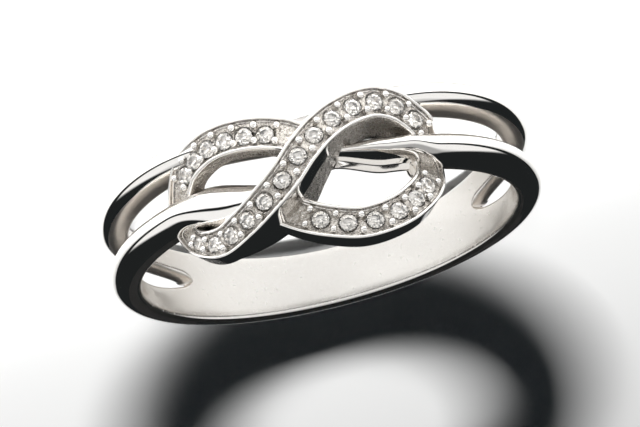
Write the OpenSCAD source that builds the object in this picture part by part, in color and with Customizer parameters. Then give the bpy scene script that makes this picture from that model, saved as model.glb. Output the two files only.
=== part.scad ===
// Knot ring: a split band whose front arm is woven through a stone-set figure eight.
// It lies on its rear rim. Z is the axis of the finger hole, and the knot faces -Y.
// Angles run round the finger hole from the middle of the knot, positive towards -X.

/* [Finger hole] */
// Radius of the finger hole
bore_r = 8.65; // [8:0.05:9.5]
// Width of the bevel that eases the hole's edges
ease_w = 0.25; // [0.1:0.05:0.3]

/* [Band] */
// Width of the band across both arms
band_w = 3.84; // [3.6:0.02:4.2]
// Clear gap between the two arms
arm_gap = 1.12; // [0.9:0.02:1.3]
// Thickness of an arm at the sides of the finger
side_rise = 1.25; // [1.15:0.05:1.5]
// Thickness of an arm beside the knot
knot_rise = 1.7; // [1.6:0.05:1.9]
// Thickness of the band at the back of the finger
back_rise = 1.15; // [1:0.05:1.35]
// How far the rear rim draws in at the back
back_draw = 0.95; // [0.5:0.05:1.2]
// Angle at which the gap between the arms closes
gap_end = 130; // [120:1:140]

/* [Knot ribbon] */
// Width of the ribbon
ribbon_w = 1.48; // [1.4:0.02:1.6]
// Width of the rim along each edge of the ribbon
rim_w = 0.16; // [0.12:0.01:0.2]
// Depth of the channel between the rims
channel_depth = 0.2; // [0.12:0.01:0.24]
// Height of the ribbon's side wall where it lies low
wall_h = 0.85; // [0.8:0.05:1.1]
// How much a low side wall leans out, for each millimetre of its height
wall_lean = 0.12; // [0:0.01:0.15]
// How much narrower the ribbon is where it passes under the front arm on the left
taper = 0.25; // [0:0.01:0.3]

/* [Stones] */
// Diameter of a stone
stone_d = 0.76; // [0.7:0.01:0.84]
// Number of stones on the strand that crosses over
over_stones = 13; // [8:1:13]
// Number of stones on each half of the strand that passes under
under_stones = 6; // [3:1:6]
// Clear space between a stone and its seat
seat_gap = 0.03; // [0.02:0.01:0.05]
// Diameter of the beads that hold the stones
bead_d = 0.26; // [0.2:0.01:0.28]

/* [Hidden] */
half_turn = 180;
// Half the band's width is the height of the front rim and the depth of the rear rim.
half_w = band_w / 2;
half_gap = arm_gap / 2;
// Angles between which the arms thicken towards the knot, and dip under its crossing
swell = [85, 35];
dip = [20, 7];
dip_depth = 0.6;
// The rear arm draws towards the knot by rear_tuck, most of it within tuck_angle.
rear_tuck = 0.7;
tuck_angle = 22;
// The front arm's inner side pinches in by front_pinch where it goes under the knot's crossing.
front_pinch = 0.8;
pinch_in = [-28, -8];
pinch_out = [-4, 8];
// The front rim draws in by rim_pinch where the arm comes out of the crossing.
rim_pinch = 0.6;
rim_in = [22, 6];
rim_out = [8, 0];
// There the dome stops short of the rim, and its foot stands out as a low ledge.
ledge = 0.36;
ledge_rise = 0.32;
ledge_in = [35, 27];
ledge_out = [4, -4];
// Where the arm goes in under the crossing, its dome reaches out over the rim by spread.
spread = 0.95;
spread_in = [-35, -21];
spread_out = [-18, -9];
// Angles at which the rims start to draw in, the gap's ends start to round and the arms merge
draw_from = 95;
round_from = 100;
merge_to = 165;
front_draw = 0.1;
slot_mid = -0.08;
// The straight part of an arm's side is this share of its thickness, and a dome tops it.
side_share = 0.4;
dome_steps = 6;
arm_step = 4;
// How far the band's outline reaches into the finger hole, before the hole is cut
root = 0.4;
root_share = 0.42;
bore_sides = 180;
// The hole's own first side is turned to the back, where the band is closed.
seam_turn = 90;

// The ribbon's path, one row for each place where it turns or climbs: the angle round the
// hole, the height along the hole's axis, and the rise of the ribbon's top over the hole.
ANGLE = 0;
HEIGHT = 1;
RISE = 2;
KNOT_PATH = [
    [3.0, 0.50, 1.75], [-3.0, -0.22, 1.95], [-10.0, -0.60, 2.20], [-18.0, -0.77, 2.20],
    [-25.0, -0.66, 1.90], [-31.6, -0.22, 1.48], [-38.4, 0.80, 0.70], [-36.8, 2.13, 0.85],
    [-30.0, 3.12, 1.62], [-23.1, 3.53, 2.08], [-15.5, 3.35, 2.80], [-9.5, 2.93, 3.40],
    [-4.0, 2.25, 3.75], [0.5, 1.35, 3.80], [5.3, 0.48, 3.50], [11.0, -0.20, 3.05],
    [18.0, -0.60, 2.55], [24.5, -0.48, 2.05], [30.2, 0.00, 1.53], [33.2, 0.50, 1.25],
    [36.0, 1.22, 0.30], [31.6, 2.69, 1.15], [24.5, 3.78, 1.78], [17.5, 4.38, 2.08],
    [10.0, 4.56, 2.15], [3.0, 4.22, 2.20], [-2.9, 3.64, 2.15], [-7.5, 2.98, 2.05]
];
path_rows = len(KNOT_PATH) - 1;
path_steps = 3;
path_trim = 0.02;
// The rows between which the ribbon's strand passes over
over_rows = [7, 20];
// The side wall deepens by wall_gain for each millimetre that the ribbon arches over low_rise.
low_rise = 2.2;
wall_gain = 1.6;
rim_bevel = 0.05;
// The upper loop's wall runs down to foot_rise over the hole, between these rows.
foot_rise = 0.35;
foot_in = [13.5, 15];
foot_out = [17, 18.5];
// The row at which the ribbon is narrowest, and how many rows its taper reaches
taper_row = 7.4;
taper_reach = 1.2;
// Clear height under the ribbon's walls, and the least that a wall goes down below the channel
wall_clear = 0.12;
wall_least = 0.04;

// Where each run of stones starts and ends, in millimetres along the ribbon's path
OVER_RUN = [11.44, 26.16];
LEFT_RUN = [2.1, 6.85];
RIGHT_RUN = [30.62, 36.62];
// How far the left run sits off the ribbon's middle, towards its outer edge
left_off = 0.1;
arc_steps = 8;

// Proportions of a round brilliant, as shares of its diameter
facets = 8;
table_share = 0.56;
star_share = 0.8;
crown_share = 0.15;
star_height = 0.65;
girdle_share = 0.04;
pavilion_share = 0.4;
lower_share = 0.22;
lower_height = 0.78;
// Height of a stone's girdle over the channel's floor, and of a bead over it
girdle_lift = 0.05;
bead_lift = 0.19;
bead_sink = 0.1;
bead_inset = 0.03;
bead_top = 0.55;
seat_sides = 12;
bead_sides = 6;

// Every sub-part by name, the metal first and then the stones in order along the path
NODES = concat(
    ["ring_body"],
    [for (i = [1:over_stones + 2 * under_stones]) str("stone_", i < 10 ? "0" : "", i)]
);

function clamp01(t) = min(1, max(0, t));
function ease(a, b, t) = let (k = clamp01((t - a) / (b - a))) k * k * (3 - 2 * k);
function mix(a, b, k) = a + (b - a) * k;

// A point at an angle round the hole, a distance from its axis and a height along it
function at(angle, r, z) = [-r * sin(angle), -r * cos(angle), z];

// Thickness, rims and gap of the band at an angle
function full_rise(a) = mix(side_rise, knot_rise, ease(swell[0], swell[1], abs(a)))
    - (side_rise - back_rise) * ease(draw_from, half_turn, abs(a));
function arm_rise(a) = full_rise(a) - dip_depth * ease(dip[0], dip[1], abs(a));
function tuck(a) = rear_tuck * exp(-pow(a / tuck_angle, 2));
function front_rim(a) = half_w - front_draw * ease(draw_from, half_turn, abs(a))
    - rim_pinch * ease(rim_in[0], rim_in[1], a) * (1 - ease(rim_out[0], rim_out[1], a));
function rear_rim(a) = -half_w + back_draw * ease(draw_from, half_turn, abs(a)) + tuck(a);
function ledge_at(a) = ledge * ease(ledge_in[0], ledge_in[1], a) * (1 - ease(ledge_out[0], ledge_out[1], a))
    - spread * ease(spread_in[0], spread_in[1], a) * (1 - ease(spread_out[0], spread_out[1], a));
function pinch(a) = front_pinch * ease(pinch_in[0], pinch_in[1], a)
    * (1 - ease(pinch_out[0], pinch_out[1], a));
function gap_mid(a) = slot_mid * ease(draw_from, gap_end, abs(a));
function gap_half(a) = half_gap
    * sqrt(max(0, 1 - pow(max(0, abs(a) - round_from) / (gap_end - round_from), 2)));

// Height of a dome, as a share of it, at a place from -1 to 1 across
function dome(u) = sqrt(max(0, 1 - u * u));
function rise_at(u, rise) = rise * (side_share + (1 - side_share) * dome(u));
function across(i) = -cos(half_turn * i / dome_steps);

// Outlines of the two arms: each has a root inside the hole, two sides and a dome. The front
// arm has one more corner, between its dome and its rim.
function root_in(lo, hi) = min(ease_w + root, root_share * (hi - lo));
function arm_dome(lo, hi, rise) =
    [for (i = [0:dome_steps]) [rise_at(across(i), rise), mix(lo, hi, (across(i) + 1) / 2)]];
function front_outline(a) =
    let (lo = gap_mid(a) + gap_half(a) + pinch(a), hi = front_rim(a), in = root_in(lo, hi),
         edge = hi - ledge_at(a))
    concat(
        [[-root, lo + min(in, gap_half(a))], [ease_w, lo]],
        arm_dome(lo, edge, arm_rise(a)),
        [[ledge_rise, edge], [ease_w, hi], [-root, hi - in]]
    );
function rear_outline(a) =
    let (lo = rear_rim(a), hi = gap_mid(a) - gap_half(a) + tuck(a), in = root_in(lo, hi))
    concat(
        [[-root, lo + in], [ease_w, lo]],
        arm_dome(lo, hi, arm_rise(a)),
        [[ease_w, hi], [-root, hi - min(in, gap_half(a))]]
    );

// Outline of the closed band, whose two domes run into one
function back_outline(a) =
    let (lo = rear_rim(a), hi = front_rim(a), mid = gap_mid(a), rise = arm_rise(a),
         in = root_in(lo, mid), one = ease(gap_end, merge_to, abs(a)))
    concat(
        [[-root, mid], [-root, lo + in], [ease_w, lo]],
        [for (i = [0:2 * dome_steps])
            let (u = i < dome_steps ? across(i) : across(i - dome_steps),
                 z = i < dome_steps ? mix(lo, mid, (u + 1) / 2) : mix(mid, hi, (u + 1) / 2),
                 wide = 2 * (z - lo) / (hi - lo) - 1)
            [mix(rise_at(u, rise), rise_at(wide, rise), one), z]],
        [[ledge_rise, hi], [ease_w, hi], [-root, hi - in]]
    );
function around(a, outline) = [for (p = outline) at(a, bore_r + p[0], p[1])];

// Angles from one side of the hole to the other in steps of about arm_step
function sweep_angles(end) =
    let (n = round(2 * end / arm_step))
    [for (i = [0:n]) end - 2 * end * i / n];

// Faces that join a list of rings, each a list of places in the list of points
function strip(rings) = [
    for (i = [0:len(rings) - 2])
        let (n = len(rings[i]))
        for (j = [0:n - 1])
            let (k = (j + 1) % n, a = rings[i][j], b = rings[i][k], c = rings[i + 1][k], d = rings[i + 1][j])
            each [[a, b, c], [a, c, d]]
];
function places(from, size, count) = [for (i = [0:count - 1]) [for (j = [0:size - 1]) from + i * size + j]];

// The band is one skin: both arms are sewn to the closed back where the gap ends.
module band() {
    back = [
        for (a = sweep_angles(half_turn - gap_end))
            around(half_turn + a, back_outline(half_turn - abs(a)))
    ];
    arms = [for (a = sweep_angles(gap_end)) a];
    inner = [for (i = [1:len(arms) - 2]) arms[i]];
    ends = [for (side = [1, -1]) at(side * gap_end, bore_r + ease_w, gap_mid(gap_end))];
    back_size = len(back[0]);
    front_size = len(front_outline(0));
    rear_size = len(rear_outline(0));
    ends_from = len(back) * back_size;
    front_from = ends_from + len(ends);
    rear_from = front_from + len(inner) * front_size;
    points = concat(
        [for (ring = back) each ring],
        ends,
        [for (a = inner) each around(a, front_outline(a))],
        [for (a = inner) each around(a, rear_outline(a))]
    );
    seams = [(len(back) - 1) * back_size, 0];
    front_ends = [for (i = [0, 1]) concat(
        [seams[i], ends_from + i],
        [for (j = [dome_steps + 3:back_size - 1]) seams[i] + j]
    )];
    rear_ends = [for (i = [0, 1]) concat(
        [for (j = [1:dome_steps + 3]) seams[i] + j],
        [ends_from + i, seams[i]]
    )];
    front = places(front_from, front_size, len(inner));
    rear = places(rear_from, rear_size, len(inner));
    faces = concat(
        strip(places(0, back_size, len(back))),
        strip(concat([front_ends[0]], front, [front_ends[1]])),
        strip(concat([rear_ends[0]], rear, [rear_ends[1]]))
    );
    polyhedron(points = points, faces = faces, convexity = 10);
}

// The knot's path, smoothed through its rows
function row(i) = KNOT_PATH[min(path_rows, max(0, i))];
function smooth(a, b, c, d, k) =
    let (slope = c - a, bend = 2 * a - 5 * b + 4 * c - d, twist = 3 * b - a - 3 * c + d)
    (2 * b + slope * k + bend * k * k + twist * k * k * k) / 2;
function path_row(t) =
    let (i = floor(t))
    smooth(row(i - 1), row(i), row(i + 1), row(i + 2), t - i);
function path_point(t) = let (p = path_row(t)) at(p[ANGLE], bore_r + p[RISE], p[HEIGHT]);
function unit(v) = v / norm(v);
function up_at(t) = at(path_row(t)[ANGLE], 1, 0);
function along_at(t) = unit(path_point(t + path_trim) - path_point(t - path_trim));
function side_at(t) = unit(cross(up_at(t), along_at(t)));

// Lengths along the path, and the place on it at a length
function arc_table(i, s) = concat(
    [[s, i / arc_steps]],
    i == path_rows * arc_steps ? []
        : arc_table(i + 1, s + norm(path_point((i + 1) / arc_steps) - path_point(i / arc_steps)))
);
ARC = arc_table(0, 0);
function place(s) = lookup(s, ARC);
function step_of(ends, n) = (ends[1] - ends[0]) / (n - 1);
function run(ends, n) = [for (i = [0:n - 1]) place(ends[0] + step_of(ends, n) * i)];
function between(ends, n) = [for (i = [-1:n - 1]) place(ends[0] + step_of(ends, n) * (i + 0.5))];
STONES = concat(
    run(OVER_RUN, over_stones),
    run(LEFT_RUN, under_stones),
    run(RIGHT_RUN, under_stones)
);
BEADS = concat(
    between(OVER_RUN, over_stones),
    between(LEFT_RUN, under_stones),
    between(RIGHT_RUN, under_stones)
);
function off_at(t) = t < over_rows[0] ? left_off : 0;

// Outline of the ribbon: two leaning walls, two bevelled rims and the channel between them
function footed(t) = ease(foot_in[0], foot_in[1], t) * (1 - ease(foot_out[0], foot_out[1], t));
function wall_at(t) =
    let (rise = path_row(t)[RISE], low = wall_h + wall_gain * max(0, rise - low_rise))
    max(channel_depth + wall_least, min(rise - wall_clear, mix(low, max(low, rise - foot_rise), footed(t))));
function share_at(t) = 1 - taper * exp(-pow((t - taper_row) / taper_reach, 2));
function half_at(t) = ribbon_w / 2 * share_at(t);
function ribbon_outline(t) =
    let (w = half_at(t), h = wall_at(t), foot = w + wall_lean * wall_h)
    [
        [-foot, -h], [-w, -rim_bevel], [-w + rim_bevel, 0], [-w + rim_w, 0],
        [-w + rim_w + rim_bevel, -channel_depth], [w - rim_w - rim_bevel, -channel_depth],
        [w - rim_w, 0], [w - rim_bevel, 0], [w, -rim_bevel], [foot, -h]
    ];

// A stretch of the ribbon between two rows of the path, closed at both ends
module stretch(from, to) {
    rings = [
        for (i = [from * path_steps:to * path_steps])
            let (t = min(path_rows - path_trim, max(path_trim, i / path_steps)))
            [for (p = ribbon_outline(t)) path_point(t) + p[0] * side_at(t) + p[1] * up_at(t)]
    ];
    n = len(rings[0]);
    last = (len(rings) - 1) * n;
    caps = [[for (j = [n - 1:-1:0]) j], [for (j = [0:n - 1]) last + j]];
    points = [for (ring = rings) each ring];
    polyhedron(points = points, faces = concat(strip(places(0, n, len(rings))), caps), convexity = 10);
}

// The strand that passes over is a stretch of its own, and meets the two that pass under.
module ribbon() {
    stretch(0, over_rows[0]);
    stretch(over_rows[0], over_rows[1]);
    stretch(over_rows[1], path_rows);
}

// Moves what it holds to the channel's floor at a place, with Z along the stone's own axis
module on_floor(t) {
    x = side_at(t);
    z = up_at(t);
    y = cross(z, x);
    p = path_point(t) - channel_depth * z + off_at(t) * x;
    multmatrix([
        [x[0], y[0], z[0], p[0]],
        [x[1], y[1], z[1], p[1]],
        [x[2], y[2], z[2], p[2]],
        [0, 0, 0, 1]
    ])
        children();
}

// A round brilliant with its girdle at the origin
function ring_of(n, d, z, turn) = [
    for (i = [0:n - 1])
        let (a = 2 * half_turn * (i + turn) / n)
        [d / 2 * cos(a), d / 2 * sin(a), z]
];

module brilliant(d) {
    n = facets;
    crown = crown_share * d;
    girdle = girdle_share * d;
    points = concat(
        ring_of(n, table_share * d, girdle + crown, 0),
        ring_of(n, star_share * d, girdle + crown * (1 - star_height), 0.5),
        ring_of(2 * n, d, girdle, 0),
        ring_of(2 * n, d, 0, 0),
        ring_of(n, lower_share * d, -pavilion_share * d * lower_height, 0.5),
        [[0, 0, -pavilion_share * d]]
    );
    star = n;
    top = 2 * n;
    low = 4 * n;
    main = 6 * n;
    culet = 7 * n;
    faces = concat(
        [[for (i = [n - 1:-1:0]) i]],
        [for (i = [0:n - 1]) let (j = (i + 1) % n)
            each [
                [i, j, star + i],
                [j, top + 2 * j, star + i],
                [j, star + j, top + 2 * j],
                [star + i, top + 2 * i + 1, top + 2 * i],
                [star + i, top + 2 * j, top + 2 * i + 1],
                [main + i, low + 2 * i, low + 2 * i + 1],
                [main + i, low + 2 * i + 1, low + 2 * j],
                [main + i, low + 2 * j, main + j],
                [main + i, main + j, culet]
            ]],
        [for (i = [0:2 * n - 1]) let (j = (i + 1) % (2 * n))
            each [[top + i, top + j, low + j], [top + i, low + j, low + i]]]
    );
    polyhedron(points = points, faces = faces, convexity = 4);
}

module seat(d) {
    depth = pavilion_share * d + seat_gap;
    translate([0, 0, girdle_lift - depth])
        cylinder(d = d + 2 * seat_gap, h = depth + channel_depth, $fn = seat_sides);
}

module bead_pair(half) {
    reach = half - rim_w - bead_d / 2 + bead_inset;
    for (side = [-1, 1])
        translate([side * reach, 0, -bead_sink])
            cylinder(d1 = bead_d, d2 = bead_top * bead_d, h = bead_sink + bead_lift, $fn = bead_sides);
}

module ring_body() {
    color("silver")
    difference() {
        resize([0, 0, 0])
            difference() {
                union() {
                    band();
                    ribbon();
                    for (t = BEADS) on_floor(t) translate([-off_at(t), 0, 0]) bead_pair(half_at(t));
                }
                for (t = STONES) on_floor(t) seat(stone_d * share_at(t));
            }
        rotate([0, 0, seam_turn])
            cylinder(r = bore_r, h = 3 * band_w, center = true, $fn = bore_sides);
    }
}

module stone(i) {
    color("white")
    on_floor(STONES[i])
    translate([0, 0, girdle_lift])
        brilliant(stone_d * share_at(STONES[i]));
}

ring_body();
for (i = [1:len(NODES) - 1]) stone(i - 1);
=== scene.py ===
"""Knot ring: a split band of polished silver, woven through a stone-set figure eight."""
import logging
import math
from dataclasses import dataclass, field
from enum import Enum
from typing import Iterable, Sequence

import bmesh
import bpy
from mathutils import Matrix, Vector, noise


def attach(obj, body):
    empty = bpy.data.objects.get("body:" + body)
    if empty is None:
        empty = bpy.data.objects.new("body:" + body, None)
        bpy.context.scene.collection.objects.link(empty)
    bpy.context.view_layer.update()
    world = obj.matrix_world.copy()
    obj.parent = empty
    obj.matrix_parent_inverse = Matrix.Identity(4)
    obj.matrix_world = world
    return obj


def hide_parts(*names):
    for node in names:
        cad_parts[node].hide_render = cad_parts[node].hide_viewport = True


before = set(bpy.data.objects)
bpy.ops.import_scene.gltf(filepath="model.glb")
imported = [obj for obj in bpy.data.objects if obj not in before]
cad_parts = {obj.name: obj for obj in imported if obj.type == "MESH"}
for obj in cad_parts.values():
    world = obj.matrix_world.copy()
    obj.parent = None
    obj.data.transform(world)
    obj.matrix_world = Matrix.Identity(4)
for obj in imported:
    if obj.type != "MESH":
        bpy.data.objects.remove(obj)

LOG = logging.getLogger("knot_ring")
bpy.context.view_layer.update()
MM = 0.001
BODY = "root"
METAL_NODE = "ring_body"
# Point attribute that holds how much painted shade each point gets.
SHADE_ATTRIBUTE = "shade_amount"
WHITE = "#FFFFFF"
# Metres under which two points are sewn into one, and under which an edge has no length.
SEWN, NO_LENGTH = 2e-7, 1e-8
# Values between which a noise pattern mostly stays.
NOISE_LOW, NOISE_HIGH = 0.3, 0.7

Point = tuple[float, float]
Place = tuple[float, float, float]
Seat = tuple[Vector, Vector, float]
Socket = bpy.types.NodeSocket


def clamp01(value: float) -> float:
    """Hold a value between 0 and 1."""
    return min(1.0, max(0.0, value))


def ease(start: float, end: float, value: float) -> float:
    """Rise smoothly from 0 at start to 1 at end.

    Args:
        start: Value at which the step starts; it may be above end.
        end: Value at which the step ends.
        value: Value to place on the step.

    Returns:
        A number from 0 to 1.
    """
    k = clamp01((value - start) / (end - start))
    return k * k * (3 - 2 * k)


def mix(low: float, high: float, k: float) -> float:
    """Go from low to high as k goes from 0 to 1."""
    return low + (high - low) * k


def curve(p: float, q: float, r: float, s: float, k: float) -> float:
    """Go smoothly from q to r as k goes from 0 to 1.

    Args:
        p: Value before q, which leads the curve in.
        q: Value at 0.
        r: Value at 1.
        s: Value after r, which leads the curve out.
        k: How far to go.

    Returns:
        The value there.
    """
    slope, bend, twist = r - p, 2 * p - 5 * q + 4 * r - s, 3 * q - p - 3 * r + s
    return (2 * q + slope * k + bend * k * k + twist * k ** 3) / 2


def around(angle: float, radius: float, height: float) -> Vector:
    """Place a point round the finger hole.

    Args:
        angle: Degrees round the hole from the middle of the knot.
        radius: Distance from the hole's axis, in mm.
        height: Height along the axis, in mm.

    Returns:
        The point in mm.
    """
    turn = math.radians(angle)
    return Vector((-radius * math.sin(turn), -radius * math.cos(turn), height))


def linear(hex_colour: str) -> tuple[float, float, float, float]:
    """Turn an sRGB hex colour into Blender's linear one, by the curve of the sRGB standard.

    Args:
        hex_colour: Six hex digits after a hash sign.

    Returns:
        Red, green, blue and an alpha of 1.
    """
    parts = [int(hex_colour[i:i + 2], 16) / 255 for i in (1, 3, 5)]
    red, green, blue = (
        p / 12.92 if p <= 0.04045 else ((p + 0.055) / 1.055) ** 2.4 for p in parts
    )
    return (red, green, blue, 1.0)


def add_node(
    tree: bpy.types.NodeTree, kind: str, links: dict | None = None, **settings: object,
) -> bpy.types.Node:
    """Add one node with its settings, socket values and links.

    Args:
        tree: The tree that gets the node.
        kind: The node's Blender type name.
        links: Socket name or index to a value, or to the socket that feeds it.
        settings: Attributes of the node.

    Returns:
        The new node.
    """
    node = tree.nodes.new(kind)
    for name, value in settings.items():
        setattr(node, name, value)
    for name, value in (links or {}).items():
        if isinstance(value, Socket):
            tree.links.new(value, node.inputs[name])
        else:
            node.inputs[name].default_value = value
    return node


def add_object(name: str, data: bpy.types.ID) -> bpy.types.Object:
    """Put a new object in the scene.

    Args:
        name: Its name.
        data: Its mesh, lamp or camera.

    Returns:
        The object, at the origin.
    """
    made = bpy.data.objects.new(name, data)
    bpy.context.scene.collection.objects.link(made)
    return made


def add_material(name: str) -> tuple[bpy.types.Material, bpy.types.Node]:
    """Make a material.

    Args:
        name: Its name.

    Returns:
        The material and its shader.
    """
    made = bpy.data.materials.new(name)
    made.use_nodes = True
    return made, made.node_tree.nodes["Principled BSDF"]


def mesh_object(
    name: str, points: Iterable[Vector], faces: Iterable[Sequence[int]],
    slots: Sequence[int] = (), shade_amount: Sequence[float] = (),
) -> bpy.types.Object:
    """Make an object from points in mm, sewn, closed and turned outwards.

    Args:
        name: Name of the piece.
        points: Its points in mm.
        faces: Its faces, each a list of point numbers.
        slots: The material slot of each face, or nothing for slot 0.
        shade_amount: How much painted shade each point gets, from 0 to 1, or nothing for 0.

    Returns:
        The new object, at the origin, linked to the scene.
    """
    mesh = bpy.data.meshes.new(name)
    mesh.from_pydata([p * MM for p in points], [], [list(f) for f in faces])
    if slots:
        mesh.polygons.foreach_set("material_index", list(slots))
    if shade_amount:
        # Each point's painted shade, which the silver's material reads.
        mesh.attributes.new(SHADE_ATTRIBUTE, "FLOAT", "POINT").data.foreach_set("value", list(shade_amount))
    shell = bmesh.new()
    shell.from_mesh(mesh)
    bmesh.ops.remove_doubles(shell, verts=shell.verts, dist=SEWN)
    bmesh.ops.dissolve_degenerate(shell, dist=NO_LENGTH, edges=shell.edges)
    bmesh.ops.recalc_face_normals(shell, faces=shell.faces)
    shell.to_mesh(mesh)
    shell.free()
    mesh.update()
    return add_object(name, mesh)


def smooth_shade(piece: bpy.types.Object, crease: float) -> None:
    """Shade a piece smooth, with sharp edges past an angle in degrees."""
    piece.data.polygons.foreach_set("use_smooth", [True] * len(piece.data.polygons))
    piece.data.set_sharp_from_angle(angle=math.radians(crease))


def wear(piece: bpy.types.Object, materials: Sequence[bpy.types.Material]) -> None:
    """Give a new piece its materials in slot order."""
    for material in materials:
        piece.data.materials.append(material)


def wear_node(name: str, material: bpy.types.Material) -> None:
    """Give a solid's object a material, and leave its mesh alone.

    Args:
        name: Name of the solid's node.
        material: What it is made of.
    """
    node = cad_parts[name]
    if not node.material_slots:
        node.data.materials.append(material)
    for holder in node.material_slots:
        holder.material = material


def fasten(piece: bpy.types.Object) -> None:
    """Fasten a metal piece to the body it rides on, and hide the solid that it stands for.

    Args:
        piece: The piece, whose mesh is finished.
    """
    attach(piece, BODY)
    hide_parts(METAL_NODE)
    LOG.info("%s: %d faces", piece.name, len(piece.data.polygons))


class Surface(Enum):
    """The ways in which the silver's surface was left."""

    MIRROR = "mirror polished"
    BUFFED = "buffed"
    SATIN = "satin, as filed"
    CAST = "as cast, tumbled"


@dataclass(frozen=True)
class SilverFinish:
    """Rhodium-plated sterling silver, cast and then finished in one of four ways.

    Polishing leaves a mirror with faint waves. Buffing leaves it softer, and a file in the
    narrow gap leaves a satin that looks warmer. Where no tool reaches, as between the stones,
    it keeps the fine grain of the casting. Painted shade darkens the crevices, and the hole by
    the gap's ends.
    """

    surface: Surface
    colour: str
    shade: str
    # Colour of the painted shade in crevices and hollows.
    painted_shade_colour: str
    roughness: Point
    grain_mm: float
    grain_bump: float
    wave_mm: float
    wave_bump: float
    grain_detail: Point = (3.0, 0.6)
    wave_detail: Point = (1.0, 0.4)

    def pattern(
        self, tree: bpy.types.NodeTree, where: Socket, size_mm: float, detail: Point,
    ) -> Socket:
        """Add one noise pattern.

        Args:
            tree: The material's tree.
            where: Object coordinates.
            size_mm: Size of the pattern in mm.
            detail: How much finer noise it has, and how strong that is.

        Returns:
            The pattern's value.
        """
        return add_node(tree, "ShaderNodeTexNoise", {
            "Vector": where, "Scale": 1 / (size_mm * MM),
            "Detail": detail[0], "Roughness": detail[1],
        }).outputs["Fac"]

    def material(self) -> bpy.types.Material:
        """Build the material.

        Returns:
            A material on Object coordinates, its scales worked out from millimetres.
        """
        made, shader = add_material(f"sterling silver, {self.surface.value}")
        tree = made.node_tree
        shader.inputs["Metallic"].default_value = 1.0
        where = add_node(tree, "ShaderNodeTexCoord").outputs["Object"]
        grain = self.pattern(tree, where, self.grain_mm, self.grain_detail)
        wave = self.pattern(tree, where, self.wave_mm, self.wave_detail)
        tint = add_node(tree, "ShaderNodeMix", {
            0: grain, 6: linear(self.shade), 7: linear(self.colour),
        }, data_type="RGBA")
        # Painted shade: the colour is drawn towards the shade colour by each point's painted shade.
        deep = add_node(tree, "ShaderNodeAttribute", attribute_name=SHADE_ATTRIBUTE).outputs["Fac"]
        painted_shade = add_node(tree, "ShaderNodeMix", {
            0: deep, 6: tint.outputs[2], 7: linear(self.painted_shade_colour),
        }, data_type="RGBA")
        rough = add_node(tree, "ShaderNodeMapRange", {
            "Value": grain, "From Min": NOISE_LOW, "From Max": NOISE_HIGH,
            "To Min": self.roughness[0], "To Max": self.roughness[1],
        })
        waves = add_node(tree, "ShaderNodeBump", {
            "Height": wave, "Strength": 1.0, "Distance": self.wave_bump * MM,
        })
        bump = add_node(tree, "ShaderNodeBump", {
            "Height": grain, "Strength": 1.0, "Distance": self.grain_bump * MM,
            "Normal": waves.outputs["Normal"],
        })
        tree.links.new(painted_shade.outputs[2], shader.inputs["Base Color"])
        tree.links.new(rough.outputs["Result"], shader.inputs["Roughness"])
        tree.links.new(bump.outputs["Normal"], shader.inputs["Normal"])
        return made


@dataclass(frozen=True)
class StoneFinish:
    """Cubic zirconia, cut and polished: clear, with sharp facets that flash light and dark."""

    colour: str
    cloud: str
    ior: float
    cloud_mm: float
    cloud_detail: float = 2.0
    haze_from: Point = (0.35, 0.75)
    haze: float = 0.06

    def material(self) -> bpy.types.Material:
        """Build the material.

        Returns:
            A clear material with a faint cloud inside.
        """
        made, shader = add_material("cubic zirconia, facet cut")
        tree = made.node_tree
        shader.inputs["Transmission Weight"].default_value = 1.0
        shader.inputs["IOR"].default_value = self.ior
        where = add_node(tree, "ShaderNodeTexCoord").outputs["Object"]
        cloud = add_node(tree, "ShaderNodeTexNoise", {
            "Vector": where, "Scale": 1 / (self.cloud_mm * MM), "Detail": self.cloud_detail,
        })
        tint = add_node(tree, "ShaderNodeMix", {
            0: cloud.outputs["Fac"], 6: linear(self.cloud), 7: linear(self.colour),
        }, data_type="RGBA")
        haze = add_node(tree, "ShaderNodeMapRange", {
            "Value": cloud.outputs["Fac"], "From Min": self.haze_from[0],
            "From Max": self.haze_from[1], "To Min": 0.0, "To Max": self.haze,
        })
        tree.links.new(tint.outputs[2], shader.inputs["Base Color"])
        tree.links.new(haze.outputs["Result"], shader.inputs["Roughness"])
        return made


# Polished with rouge: a clear mirror, so arms and rims show hard black and white shapes. The
# wheel's marks are a few microns wide, and drawn 0.12 mm wide so that they show at all.
MIRROR_SILVER = SilverFinish(
    Surface.MIRROR, colour="#F0EEEB", shade="#EBE8E4", painted_shade_colour="#8C8378",
    roughness=(0.05, 0.08), grain_mm=0.12, grain_bump=0.0004, wave_mm=1.6, wave_bump=0.006,
)
# Buffed on a felt stick: bright, with reflections that run softly into one another. The
# felt's marks are a few hundredths of a millimetre wide, and drawn coarser so that they show.
BUFFED_SILVER = SilverFinish(
    Surface.BUFFED, colour="#ECEAE7", shade="#D9D5D0", painted_shade_colour="#8C8378",
    roughness=(0.2, 0.28), grain_mm=0.2, grain_bump=0.0015, wave_mm=1.1, wave_bump=0.012,
)
# Filed and sanded: an even warm sheen that mirrors nothing. The file's teeth leave marks
# about 0.05 mm wide, and they are drawn twice as wide so that they show.
SATIN_SILVER = SilverFinish(
    Surface.SATIN, colour="#ECE7E1", shade="#D6CFC7", painted_shade_colour="#8C8378",
    roughness=(0.3, 0.4), grain_mm=0.12, grain_bump=0.003, wave_mm=1.1, wave_bump=0.012,
)
# As the mould left it: bright specks and dull patches, with painted shade dark in the
# crevices. The real grain is a few hundredths of a millimetre, and it is drawn about twice
# as coarse so that it shows.
CAST_SILVER = SilverFinish(
    Surface.CAST, colour="#E4E0DA", shade="#A09991", painted_shade_colour="#38332E",
    roughness=(0.18, 0.34), grain_mm=0.07, grain_bump=0.03, wave_mm=0.45, wave_bump=0.11,
)
# Sharp bright and dark facets, with the faint cloud of dust and wear that small stones have.
# The cloud is as wide as a facet, so that one facet differs from the next.
STONE_FINISH = StoneFinish(colour="#F8F5F0", cloud="#D2CBC1", ior=2.15, cloud_mm=0.2)


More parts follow.
